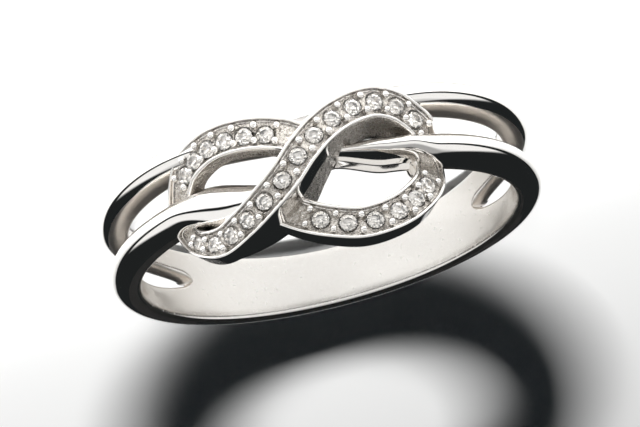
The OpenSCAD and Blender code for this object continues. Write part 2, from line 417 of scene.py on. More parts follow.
@dataclass
class Band:
    """The shank: closed at the back, and split into two arms that run on under the knot.

    All sizes are in mm and degrees. A pair of angles is where a change starts and ends. The
    sizes are the solid's, but the front arm's widening is eased in over a longer way.
    """

    bore_r: float = 8.65
    ease_w: float = 0.25
    half_w: float = 1.92
    half_gap: float = 0.56
    side_rise: float = 1.25
    knot_rise: float = 1.7
    back_rise: float = 1.15
    back_draw: float = 0.95
    gap_end: float = 130.0
    swell: Point = (85.0, 35.0)
    dip: Point = (20.0, 7.0)
    dip_depth: float = 0.6
    rear_tuck: float = 0.7
    tuck_angle: float = 22.0
    front_pinch: float = 0.8
    pinch_in: Point = (-28.0, -8.0)
    pinch_out: Point = (-4.0, 8.0)
    rim_pinch: float = 0.6
    rim_in: Point = (22.0, 6.0)
    rim_out: Point = (8.0, 0.0)
    ledge: float = 0.36
    ledge_rise: float = 0.32
    ledge_round: float = 0.05
    ledge_start: float = 0.04
    ledge_middle: Point = (0.5, 0.4)
    ledge_brink: Point = (0.9, 0.1)
    ledge_in: Point = (35.0, 27.0)
    ledge_out: Point = (4.0, -4.0)
    spread: float = 0.95
    spread_in: Point = (-38.0, -19.0)
    spread_out: Point = (-18.0, -9.0)
    draw_from: float = 95.0
    round_from: float = 100.0
    merge_to: float = 165.0
    front_draw: float = 0.1
    slot_mid: float = -0.08
    side_share: float = 0.4
    # Painted shade inside the hole by the gap's ends: its strength, middle angle and reach.
    painted_shade: float = 0.5
    shade_at: float = 116.0
    shade_reach: float = 17.0
    buffed_slot: int = 1
    satin_slot: int = 2
    hole_edge: float = 0.04
    gap_edge: float = 0.12
    gap_lean: float = 0.85
    dome_cuts: int = 20
    side_cuts: int = 3
    edge_cuts: int = 5
    bore_cuts: int = 6
    tip_cuts: int = 20
    crease: float = 40.0

    def rise(self, angle: float) -> float:
        """Thickness of the band at an angle, from the hole outwards.

        Args:
            angle: Degrees round the hole from the middle of the knot.

        Returns:
            Thickness in mm.
        """
        side = abs(angle)
        full = mix(self.side_rise, self.knot_rise, ease(*self.swell, side))
        full -= (self.side_rise - self.back_rise) * ease(self.draw_from, 180, side)
        return full - self.dip_depth * ease(*self.dip, side)

    def tuck(self, angle: float) -> float:
        """How far the rear arm draws towards the knot."""
        return self.rear_tuck * math.exp(-((angle / self.tuck_angle) ** 2))

    def pinch(self, angle: float) -> float:
        """How far the front arm's inner side draws in under the crossing."""
        return self.front_pinch * ease(*self.pinch_in, angle) * (1 - ease(*self.pinch_out, angle))

    def front_rim(self, angle: float) -> float:
        """Height of the front rim.

        Args:
            angle: Degrees round the hole from the middle of the knot.

        Returns:
            Height in mm.
        """
        high = self.half_w - self.front_draw * ease(self.draw_from, 180, abs(angle))
        pinch = self.rim_pinch * ease(*self.rim_in, angle) * (1 - ease(*self.rim_out, angle))
        return high - pinch

    def crown_edge(self, angle: float) -> float:
        """Height at which the front arm's dome ends: short of the rim by the ledge, or past it.

        Args:
            angle: Degrees round the hole from the middle of the knot.

        Returns:
            Height in mm.
        """
        short = self.ledge * ease(*self.ledge_in, angle) * (1 - ease(*self.ledge_out, angle))
        past = self.spread * ease(*self.spread_in, angle) * (1 - ease(*self.spread_out, angle))
        return self.front_rim(angle) - short + past

    def rear_rim(self, angle: float) -> float:
        """Height of the rear rim."""
        drawn = self.back_draw * ease(self.draw_from, 180, abs(angle))
        return -self.half_w + drawn + self.tuck(angle)

    def gap_mid(self, angle: float) -> float:
        """Height of the middle of the gap between the arms."""
        return self.slot_mid * ease(self.draw_from, self.gap_end, abs(angle))

    def gap_half(self, angle: float) -> float:
        """Half the gap between the arms, rounded off at its end."""
        past = max(0.0, abs(angle) - self.round_from) / (self.gap_end - self.round_from)
        return self.half_gap * math.sqrt(max(0.0, 1 - past * past))

    def dome(self, place: float, rise: float) -> float:
        """Height of the domed top, at a place from -1 to 1 across."""
        return rise * mix(self.side_share, 1.0, math.sqrt(max(0.0, 1 - place * place)))

    def edge(self, height: float, width: float, up: int) -> list[Point]:
        """Points of an eased edge, from the hole's wall out to the band's side.

        Args:
            height: Height of the band's side.
            width: Width of the easing.
            up: 1 where the side faces down, -1 where it faces up.

        Returns:
            Pairs of rise and height.
        """
        turns = [math.pi / 2 * i / self.edge_cuts for i in range(self.edge_cuts + 1)]
        return [(width * (1 - math.cos(t)), height + up * width * (1 - math.sin(t))) for t in turns]

    def side(self, height: float, width: float, rise: float) -> list[Point]:
        """Points of the band's straight side, its ends left out."""
        top = rise * self.side_share
        return [(mix(width, top, i / self.side_cuts), height) for i in range(1, self.side_cuts)]

    def tops(self, low: float, high: float, rise: float) -> list[Point]:
        """Points of one dome between two heights."""
        places = [-math.cos(math.pi * i / self.dome_cuts) for i in range(self.dome_cuts + 1)]
        return [(self.dome(p, rise), mix(low, high, (p + 1) / 2)) for p in places]

    def wall(self, low: float, high: float) -> list[Point]:
        """Points of the hole's wall from high to low, its ends left out."""
        return [(0.0, mix(high, low, i / self.bore_cuts)) for i in range(1, self.bore_cuts)]

    def foot(self, edge: float, high: float, rise: float) -> list[Point]:
        """Points from the edge of the front arm's dome down its side, over the ledge to the rim.

        Args:
            edge: Height at which the dome ends.
            high: Height of the rim.
            rise: Thickness of the arm.

        Returns:
            Pairs of rise and height.
        """
        top, low = rise * self.side_share, self.ledge_rise
        lip = clamp01(abs(high - edge) / self.ledge) * self.ledge_round
        (middle, middle_drop), (brink, brink_drop) = self.ledge_middle, self.ledge_brink
        return [
            (mix(top, low, 0.5), edge),
            (low, mix(edge, high, self.ledge_start)),
            (low - middle_drop * lip, mix(edge, high, middle)),
            (low - brink_drop * self.ledge_round, mix(edge, high, brink)),
            (low - self.ledge_round, high),
        ]

    def arm(
        self, low: float, high: float, rise: float, ease_low: float, ease_high: float,
        edge: float | None = None,
    ) -> list[Point]:
        """Outline of one arm, as pairs of rise and height.

        Args:
            low: Height of its rear side.
            high: Height of its front side.
            rise: Its thickness.
            ease_low: Width of the easing of its rear edge.
            ease_high: Width of the easing of its front edge.
            edge: Height at which its dome ends, for an arm that has a ledge.

        Returns:
            The outline, once round.
        """
        if edge is None:
            edge, down = high, reversed(self.side(high, ease_high, rise))
        else:
            down = self.foot(edge, high, rise)
        return [
            *self.edge(low, ease_low, 1),
            *self.side(low, ease_low, rise),
            *self.tops(low, edge, rise),
            *down,
            *reversed(self.edge(high, ease_high, -1)),
            *self.wall(low + ease_low, high - ease_high),
        ]

    def back(self, angle: float) -> list[Point]:
        """Outline of the closed band at an angle.

        Args:
            angle: Degrees round the hole from the middle of the knot.

        Returns:
            Pairs of rise and height, once round.
        """
        low, high = self.rear_rim(angle), self.front_rim(angle)
        mid, rise = self.gap_mid(angle), self.rise(angle)
        one = ease(self.gap_end, self.merge_to, abs(angle))
        crown = self.tops(low, mid, rise) + self.tops(mid, high, rise)[1:]
        merged = [
            (mix(r, self.dome(2 * (z - low) / (high - low) - 1, rise), one), z) for r, z in crown
        ]
        return [
            *self.edge(low, self.ease_w, 1),
            *self.side(low, self.ease_w, rise),
            *merged,
            *self.foot(high, high, rise),
            *reversed(self.edge(high, self.ease_w, -1)),
            *self.wall(mid, high - self.ease_w),
            (0.0, mid),
            *self.wall(low + self.ease_w, mid),
        ]

    def ring(self, angle: float, outline: Sequence[Point]) -> list[Vector]:
        """Put an outline round the hole at an angle."""
        return [around(angle, self.bore_r + r, z) for r, z in outline]

    def arm_angles(self) -> list[float]:
        """Angles of the arms' outlines, closer together at the rounded ends of the gap.

        Returns:
            Angles in degrees, from one end of the gap to the other.
        """
        turns = [math.pi / 2 * i / self.tip_cuts for i in range(1, self.tip_cuts + 1)]
        near = [mix(self.round_from, self.gap_end, math.sin(t)) for t in turns]
        middle = [float(a) for a in range(-int(self.round_from), int(self.round_from) + 1)]
        return [-a for a in reversed(near)] + middle + near

    def sections(self) -> list[list[list[Vector]]]:
        """Rings of points for the front arm, the rear arm and the closed back.

        Returns:
            Three lists of rings, which share their end points where they are sewn.
        """
        front, rear = [], []
        for angle in self.arm_angles():
            mid, half, rise = self.gap_mid(angle), self.gap_half(angle), self.rise(angle)
            inner = min(self.ease_w, half)
            low, high = mid + half + self.pinch(angle), self.front_rim(angle)
            outline = self.arm(low, high, rise, inner, self.ease_w, self.crown_edge(angle))
            front.append(self.ring(angle, outline))
            high = mid - half + self.tuck(angle)
            outline = self.arm(self.rear_rim(angle), high, rise, self.ease_w, inner)
            rear.append(self.ring(angle, outline))
        steps = int(2 * (180 - self.gap_end))
        back = [
            self.ring(180 + off, self.back(180 - abs(off)))
            for off in (i - steps / 2 for i in range(steps + 1))
        ]
        return [front, rear, back]

    def build(self) -> bpy.types.Object:
        """Sew the arms and the back into one closed skin.

        Returns:
            The band.
        """
        points: list[Vector] = []
        faces: list[tuple[int, ...]] = []
        for rings in self.sections():
            size, start = len(rings[0]), len(points)
            points.extend(p for ring in rings for p in ring)
            for i in range(len(rings) - 1):
                for j in range(size):
                    a, b = start + i * size + j, start + i * size + (j + 1) % size
                    faces.append((a, b, b + size, a + size))
        # Each point carries its painted shade.
        made = mesh_object("band", points, faces, shade_amount=[self.shaded(p) for p in points])
        smooth_shade(made, self.crease)
        return made

    def shaded(self, point: Vector) -> float:
        """How much painted shade a point gets: most in the hole, by the gap's ends.

        Args:
            point: Point of the band, in mm.

        Returns:
            A number from 0 to 1, which is 0 outside the hole.
        """
        if math.hypot(point.x, point.y) > self.bore_r + self.hole_edge:
            return 0.0
        angle = abs(math.degrees(math.atan2(-point.x, -point.y)))
        return self.painted_shade * math.exp(-(((angle - self.shade_at) / self.shade_reach) ** 2))

    def finish_slot(self, middle: Vector, normal: Vector) -> int:
        """How a place was finished: polished, or buffed in the hole, or filed between the arms.

        Args:
            middle: Middle of a face, in mm.
            normal: The face's normal.

        Returns:
            The place's material slot.
        """
        angle = math.degrees(math.atan2(-middle.x, -middle.y))
        if math.hypot(middle.x, middle.y) < self.bore_r + self.hole_edge:
            return self.buffed_slot
        low = self.gap_mid(angle) - self.gap_half(angle) + self.tuck(angle)
        high = self.gap_mid(angle) + self.gap_half(angle) + self.pinch(angle)
        in_gap = low - self.gap_edge < middle.z < high + self.gap_edge
        on_side = normal.dot(around(angle, 1.0, 0.0)) < self.gap_lean
        return self.satin_slot if in_gap and on_side and abs(angle) < self.gap_end else 0

    def dress(self, piece: bpy.types.Object) -> None:
        """Polish the band, buff its hole and leave the gap's sides as filed.

        Args:
            piece: The band.
        """
        finishes = (MIRROR_SILVER, BUFFED_SILVER, SATIN_SILVER)
        wear(piece, [finish.material() for finish in finishes])
        for face in piece.data.polygons:
            face.material_index = self.finish_slot(face.center / MM, face.normal)
        fasten(piece)


@dataclass
class KnotPath:
    """The way that the ribbon takes, smoothed through a few places where it turns or climbs.

    Each row is the angle round the hole, the height along it, and the rise of the ribbon's
    top over the hole, in degrees and mm. They are the solid's rows, but the last one lies
    further inside the over strand.
    """

    bore_r: float = 8.65
    rows: tuple[Place, ...] = (
        (3.0, 0.50, 1.75), (-3.0, -0.22, 1.95), (-10.0, -0.60, 2.20), (-18.0, -0.77, 2.20),
        (-25.0, -0.66, 1.90), (-31.6, -0.22, 1.48), (-38.4, 0.80, 0.70), (-36.8, 2.13, 0.85),
        (-30.0, 3.12, 1.62), (-23.1, 3.53, 2.08), (-15.5, 3.35, 2.80), (-9.5, 2.93, 3.40),
        (-4.0, 2.25, 3.75), (0.5, 1.35, 3.80), (5.3, 0.48, 3.50), (11.0, -0.20, 3.05),
        (18.0, -0.60, 2.55), (24.5, -0.48, 2.05), (30.2, 0.00, 1.53), (33.2, 0.50, 1.25),
        (36.0, 1.22, 0.30), (31.6, 2.69, 1.15), (24.5, 3.78, 1.78), (17.5, 4.38, 2.08),
        (10.0, 4.56, 2.15), (3.0, 4.22, 2.20), (-2.9, 3.64, 2.15), (-9.6, 2.68, 2.00),
    )
    arc_steps: int = 8
    trim: float = 0.02
    lengths: list[Point] = field(default_factory=list)

    def __post_init__(self) -> None:
        """Measure the path once."""
        total, last = 0.0, self.point(0.0)
        for i in range(self.last * self.arc_steps + 1):
            here = self.point(i / self.arc_steps)
            total += (here - last).length
            self.lengths.append((total, i / self.arc_steps))
            last = here

    @property
    def last(self) -> int:
        """Number of the last row."""
        return len(self.rows) - 1

    def row(self, t: float) -> Place:
        """Smoothed row at a place on the path.

        Args:
            t: Place, counted in rows.

        Returns:
            Angle, height and rise there.
        """
        i = math.floor(t)
        near = (self.rows[min(self.last, max(0, i + n))] for n in (-1, 0, 1, 2))
        return tuple(curve(*values, t - i) for values in zip(*near))

    def point(self, t: float) -> Vector:
        """Middle of the ribbon's top at a place, in mm."""
        angle, height, rise = self.row(t)
        return around(angle, self.bore_r + rise, height)

    def axes(self, t: float) -> tuple[Vector, Vector, Vector]:
        """The ribbon's own directions at a place.

        Args:
            t: Place, counted in rows.

        Returns:
            Unit vectors across the ribbon, along it and up from the hole.
        """
        up = around(self.row(t)[0], 1.0, 0.0)
        along = (self.point(t + self.trim) - self.point(t - self.trim)).normalized()
        side = up.cross(along).normalized()
        return side, along, up

    def place(self, length: float) -> float:
        """Place on the path at a length along it, in mm.

        Args:
            length: Length from the path's start, in mm.

        Returns:
            Place, counted in rows.
        """
        for (s0, t0), (s1, t1) in zip(self.lengths, self.lengths[1:]):
            if length <= s1:
                return mix(t0, t1, (length - s0) / (s1 - s0))
        return self.lengths[-1][1]


@dataclass(frozen=True)
class Run:
    """A row of stones between two lengths along the path, in mm."""

    start: float
    end: float
    count: int
    off: float = 0.0

    @property
    def step(self) -> float:
        """Distance from one stone to the next."""
        return (self.end - self.start) / (self.count - 1)

    def stones(self) -> list[float]:
        """Lengths at which the stones sit."""
        return [self.start + self.step * i for i in range(self.count)]

    def beads(self) -> list[float]:
        """Lengths at which the pairs of beads sit, before, between and after the stones."""
        return [self.start + self.step * (i - 0.5) for i in range(self.count + 1)]


@dataclass
class KnotRibbon:
    """The figure eight: a ribbon with a raised rim along each edge and stones between."""

    path: KnotPath = field(default_factory=KnotPath)
    runs: tuple[Run, ...] = (Run(11.44, 26.16, 13), Run(2.1, 6.85, 6, 0.1), Run(30.62, 36.62, 6))
    width: float = 1.48
    rim_w: float = 0.16
    channel_depth: float = 0.2
    wall_h: float = 0.85
    wall_lean: float = 0.12
    wall_gain: float = 1.6
    low_rise: float = 2.2
    wall_clear: float = 0.12
    wall_least: float = 0.04
    foot_rise: float = 0.12
    foot_in: Point = (13.5, 15.0)
    foot_out: Point = (17.0, 18.5)
    footed_least: float = 0.02
    taper: float = 0.25
    taper_row: float = 7.4
    taper_reach: float = 1.2
    stone_d: float = 0.76
    lip_h: float = 0.05
    lip_w: float = 0.05
    lip_out: float = 0.07
    lip_reach: float = 0.2
    cup_depth: float = 0.34
    cup_start: float = 0.02
    seat_reach: float = 2.96
    floor_cuts: int = 26
    wall_cuts: int = 8
    station_mm: float = 0.05
    grain_mm: float = 0.1
    grain_depth: float = 0.055
    # Painted shade: the floor darker along the rims and round the stones, and the side wall darker
    # where it runs down under the crossing.
    shade_reach: float = 0.16
    painted_shade: float = 0.85
    wall_shade: float = 0.2
    cast_slot: int = 1
    buffed_slot: int = 2
    rough_rows: Point = (3.2, 8.7)
    cast_foot_rows: Point = (11.2, 14.2)
    cast_foot_cuts: int = 5
    rim_profile: tuple[Point, ...] = (
        (0.0, -0.11), (0.008, -0.06), (0.03, -0.022), (0.06, -0.004), (0.09, 0.0), (0.12, -0.006),
        (0.148, -0.028), (0.163, -0.07), (0.17, -0.12), (0.185, -0.165), (0.215, -0.19),
    )
    crease: float = 50.0

    @property
    def floor(self) -> range:
        """Numbers of the outline's points that lie on the channel's floor."""
        start = self.wall_cuts + len(self.rim_profile)
        return range(start, start + self.floor_cuts - 1)

    def footed(self, t: float) -> float:
        """How far, from 0 to 1, the side wall runs down to the hole at a place on the path."""
        return ease(*self.foot_in, t) * (1 - ease(*self.foot_out, t))

    def wall(self, t: float) -> float:
        """Height of the side wall at a place on the path.

        Args:
            t: Place, counted in rows.

        Returns:
            Height in mm, from the ribbon's top down.
        """
        rise = self.path.row(t)[2]
        low = self.wall_h + self.wall_gain * max(0.0, rise - self.low_rise)
        deep = mix(low, max(low, rise - self.foot_rise), self.footed(t))
        return max(self.channel_depth + self.wall_least, min(rise - self.wall_clear, deep))

    def share(self, t: float) -> float:
        """Width of the ribbon at a place, as a share of its full width."""
        return 1 - self.taper * math.exp(-(((t - self.taper_row) / self.taper_reach) ** 2))

    def outline(self, t: float) -> list[Point]:
        """Outline of the ribbon at a place, from one foot over the top to the other.

        Args:
            t: Place, counted in rows.

        Returns:
            Pairs of distance across and height over the ribbon's top.
        """
        half, deep = self.share(t) * self.width / 2, self.wall(t)
        foot = half + self.wall_lean * self.wall_h
        shares = [i / self.wall_cuts for i in range(self.wall_cuts)]
        wall = [(mix(-foot, -half, k), mix(-deep, self.rim_profile[0][1], k)) for k in shares]
        rim = [(-half + x, y) for x, y in self.rim_profile]
        edge = half - self.rim_profile[-1][0]
        shares = [i / self.floor_cuts for i in range(1, self.floor_cuts)]
        floor = [(mix(-edge, edge, k), -self.channel_depth) for k in shares]
        left = wall + rim
        return [*left, *floor, *((-x, y) for x, y in reversed(left))]

    def seats(self) -> list[Seat]:
        """Middle, upward direction and radius of each stone's seat, on the channel's floor.

        Returns:
            The seats, run after run.
        """
        made = []
        for run in self.runs:
            for length in run.stones():
                t = self.path.place(length)
                side, _, up = self.path.axes(t)
                middle = self.path.point(t) + run.off * side - self.channel_depth * up
                made.append((middle, up, self.share(t) * self.stone_d / 2))
        return made

    def sunk(self, point: Vector, seats: Sequence[Seat]) -> Vector:
        """Press the floor into a cup under each stone and raise a lip round it.

        Args:
            point: Point on the floor, in mm.
            seats: Middle, upward direction and radius of each seat near it.

        Returns:
            The point moved up or down.
        """
        for middle, up, radius in seats:
            off = point - middle
            away = (off - off.dot(up) * up).length
            if away > radius + self.lip_reach:
                continue
            if away < radius:
                return point - up * min(self.cup_depth, radius - away + self.cup_start)
            bump = math.exp(-(((away - radius - self.lip_out) / self.lip_w) ** 2))
            return point + up * self.lip_h * bump
        return point

    def shaded(self, point: Vector, edge: float, seats: Sequence[Seat]) -> float:
        """How much painted shade the floor gets at a point: most along the rims and round the
        stones.

        Args:
            point: Point on the floor, in mm.
            edge: Its distance from the nearer rim, in mm.
            seats: Middle, upward direction and radius of each seat near it.

        Returns:
            A number from 0 to 1.
        """
        gaps = [edge]
        for middle, up, radius in seats:
            off = point - middle
            gaps.append(abs((off - off.dot(up) * up).length - radius))
        return self.painted_shade * ease(self.shade_reach, 0.0, min(gaps))

    def grained(self, point: Vector, up: Vector) -> Vector:
        """Roughen a cast point as the mould left it."""
        return point + up * self.grain_depth * noise.noise(point / self.grain_mm)

    def section(
        self, t: float, seats: Sequence[Seat], at_end: bool,
    ) -> list[tuple[Vector, float]]:
        """Points of the ribbon's outline at a place on the path.

        Args:
            t: Place, counted in rows.
            seats: Middle, upward direction and radius of every seat.
            at_end: Whether the ribbon ends here, where its floor stays flat.

        Returns:
            Each point in mm, and how much painted shade it gets, from 0 to 1.
        """
        side, _, up = self.path.axes(t)
        # Painted shade on the side wall, where it runs down under the crossing.
        top, wall_shade = self.path.point(t), self.wall_shade * self.footed(t)
        near = [seat for seat in seats if (seat[0] - top).length < self.seat_reach]
        outline = self.outline(t)
        edge = outline[self.floor.stop][0]
        made = []
        for j, (x, y) in enumerate(outline):
            point = top + side * x + up * y
            if j in self.floor:
                # Painted shade on the floor, darkest along the rims and round the stones.
                shade_amount = self.shaded(point, edge - abs(x), near)
                point = self.sunk(point, near)
                made.append((point if at_end else self.grained(point, up), shade_amount))
            else:
                made.append((point, wall_shade if j < self.wall_cuts else 0.0))
        return made

    def finish_slots(self, t: float, size: int) -> list[int]:
        """How the faces round the ribbon were finished at a place on the path.

        Args:
            t: Place, counted in rows.
            size: Number of faces round the ribbon.

        Returns:
            Each face's material slot: 0 polished, 1 as cast and 2, the underside, buffed.
        """
        rough = self.rough_rows[0] < t < self.rough_rows[1]
        cast_wall = rough or self.footed(t) > self.footed_least
        cast_foot = self.cast_foot_rows[0] < t < self.cast_foot_rows[1]
        slots = [0] * size
        for j in range(self.floor.start - 1, self.floor.stop):
            slots[j] = self.cast_slot
        for j in range(self.wall_cuts):
            if cast_wall or (cast_foot and j < self.cast_foot_cuts):
                slots[j] = self.cast_slot
            if j and t < self.rough_rows[1]:
                slots[-1 - j] = self.cast_slot
        slots[-1] = self.buffed_slot
        return slots

    def build(self) -> bpy.types.Object:
        """Sweep the ribbon's outline along its path.

        Returns:
            The ribbon, with each face in the slot of its finish.
        """
        path, seats = self.path, self.seats()
        total = path.lengths[-1][0]
        stations = int(total / self.station_mm)
        points: list[Vector] = []
        shade_amount: list[float] = []
        for i in range(stations + 1):
            t = min(path.last - path.trim, max(path.trim, path.place(total * i / stations)))
            section = self.section(t, seats, i in (0, stations))
            points.extend(point for point, _ in section)
            shade_amount.extend(depth for _, depth in section)
        size, last = len(section), len(points) - len(section)
        faces: list[tuple[int, ...]] = []
        slots: list[int] = []
        for i in range(stations):
            slots += self.finish_slots(path.place(total * (i + 0.5) / stations), size)
            for j in range(size):
                a, b = i * size + j, i * size + (j + 1) % size
                faces.append((a, b, b + size, a + size))
        faces += [tuple(range(size - 1, -1, -1)), tuple(range(last, last + size))]
        slots += [0, 0]
        made = mesh_object("knot_ribbon", points, faces, slots, shade_amount)
        smooth_shade(made, self.crease)
        return made

    def dress(self, piece: bpy.types.Object) -> None:
        """Polish the rims and walls, buff the underside, and leave the rest as cast.

        Args:
            piece: The ribbon.
        """
        finishes = (MIRROR_SILVER, CAST_SILVER, BUFFED_SILVER)
        wear(piece, [finish.material() for finish in finishes])
        fasten(piece)


@dataclass
class SettingBeads:
    """The small round beads, raised from the metal, that hold each stone down."""

    ribbon: KnotRibbon
    diameter: float = 0.36
    inset: float = -0.06
    lift: float = 0.16
    spread: float = 0.1
    seed: int = 7
    segments: int = 16
    rings: int = 10

    def anchors(self) -> bpy.types.Object:
        """Loose points where the beads go, each with its upward direction.

        Returns:
            An object of loose points, which the finished beads don't need.
        """
        inset = self.ribbon.rim_w + self.diameter / 2 - self.inset
        places, ups = [], []
        for run in self.ribbon.runs:
            for length in run.beads():
                t = self.ribbon.path.place(length)
                side, _, up = self.ribbon.path.axes(t)
                reach = self.ribbon.share(t) * self.ribbon.width / 2 - inset
                floor = self.ribbon.path.point(t) + (self.lift - self.ribbon.channel_depth) * up
                for hand in (-1, 1):
                    places.append(floor + hand * reach * side)
                    ups.append(up)
        mesh = bpy.data.meshes.new("bead_anchors")
        mesh.from_pydata([p * MM for p in places], [], [])
        attribute = mesh.attributes.new("up", "FLOAT_VECTOR", "POINT")
        attribute.data.foreach_set("vector", [c for up in ups for c in up])
        return add_object("bead_anchors", mesh)

    def tree(self, material: bpy.types.Material) -> bpy.types.NodeTree:
        """Geometry Nodes that put a small polished ball on each anchor.

        Args:
            material: Finish of the beads.

        Returns:
            The tree, with inputs for the diameter, its spread and the seed.
        """
        tree = bpy.data.node_groups.new("raise_beads", "GeometryNodeTree")
        face = tree.interface
        face.new_socket("Geometry", in_out="INPUT", socket_type="NodeSocketGeometry")
        for name, kind in (("Bead diameter", "Float"), ("Size spread", "Float"), ("Seed", "Int")):
            face.new_socket(name, in_out="INPUT", socket_type=f"NodeSocket{kind}")
        face.new_socket("Geometry", in_out="OUTPUT", socket_type="NodeSocketGeometry")
        inputs = add_node(tree, "NodeGroupInput").outputs
        # The ball is 1 across, so that its scale is its diameter.
        ball = add_node(tree, "GeometryNodeMeshUVSphere", {
            "Segments": self.segments, "Rings": self.rings, "Radius": 0.5,
        })
        upwards = add_node(tree, "GeometryNodeInputNamedAttribute", {
            "Name": "up",
        }, data_type="FLOAT_VECTOR")
        turn = add_node(tree, "FunctionNodeAlignRotationToVector", {
            "Vector": upwards.outputs["Attribute"],
        }, axis="Z")
        low = add_node(tree, "ShaderNodeMath", {
            0: 1.0, 1: inputs["Size spread"],
        }, operation="SUBTRACT")
        share = add_node(tree, "FunctionNodeRandomValue", {
            2: low.outputs[0], 3: 1.0, "Seed": inputs["Seed"],
        }, data_type="FLOAT")
        size = add_node(tree, "ShaderNodeMath", {
            0: share.outputs[1], 1: inputs["Bead diameter"],
        }, operation="MULTIPLY")
        placed = add_node(tree, "GeometryNodeInstanceOnPoints", {
            "Points": inputs["Geometry"], "Instance": ball.outputs["Mesh"],
            "Rotation": turn.outputs["Rotation"], "Scale": size.outputs[0],
        })
        real = add_node(tree, "GeometryNodeRealizeInstances", {
            "Geometry": placed.outputs["Instances"],
        })
        smooth = add_node(tree, "GeometryNodeSetShadeSmooth", {
            "Geometry": real.outputs["Geometry"],
        })
        finish = add_node(tree, "GeometryNodeSetMaterial", {
            "Geometry": smooth.outputs["Geometry"], "Material": material,
        })
        add_node(tree, "NodeGroupOutput", {"Geometry": finish.outputs["Geometry"]})
        return tree

    def build(self) -> bpy.types.Object:
        """Raise the beads and keep them as one plain mesh.

        Returns:
            The beads.
        """
        anchors = self.anchors()
        tree = self.tree(MIRROR_SILVER.material())
        modifier = anchors.modifiers.new("raise_beads", "NODES")
        modifier.node_group = tree
        sizes = {
            "Bead diameter": self.diameter * MM, "Size spread": self.spread, "Seed": self.seed,
        }
        for item in tree.interface.items_tree:
            if item.in_out == "INPUT" and item.name in sizes:
                modifier[item.identifier] = sizes[item.name]
        graph = bpy.context.evaluated_depsgraph_get()
        mesh = bpy.data.meshes.new_from_object(anchors.evaluated_get(graph))
        mesh.name = "setting_beads"
        bpy.data.objects.remove(anchors)
        return add_object("setting_beads", mesh)

    def dress(self, piece: bpy.types.Object) -> None:
        """Fasten the beads, which already wear their finish."""
        fasten(piece)


@dataclass
class Stones:
    """The brilliants, whose cut comes from the solids."""

    prefix: str = "stone_"

    def dress(self) -> None:
        """Give each stone its clear material."""
        material = STONE_FINISH.material()
        names = [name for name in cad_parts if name.startswith(self.prefix)]
        for name in names:
            wear_node(name, material)
        LOG.info("stones: %d", len(names))


@dataclass(frozen=True)
class Lamp:
    """A soft flat lamp, kept out of the camera's sight and of the metal's reflections.

    Places and sizes are in mm, the power in watts and the beam's spread in degrees.
    """

    name: str
    at: Place
    aim: Place
    size: Point
    power: float
    spread: float = 180.0

    def hang(self) -> None:
        """Put the lamp in its place and aim it."""
        data = bpy.data.lights.new(self.name, "AREA")
        data.shape = "RECTANGLE"
        data.size, data.size_y = self.size[0] * MM, self.size[1] * MM
        data.energy = self.power
        data.spread = math.radians(self.spread)
        lamp = add_object(self.name, data)
        lamp.visible_glossy = False
        lamp.visible_camera = False
        turn = (Vector(self.at) - Vector(self.aim)).to_track_quat("Z", "Y")
        lamp.matrix_world = Matrix.Translation(Vector(self.at) * MM) @ turn.to_matrix().to_4x4()


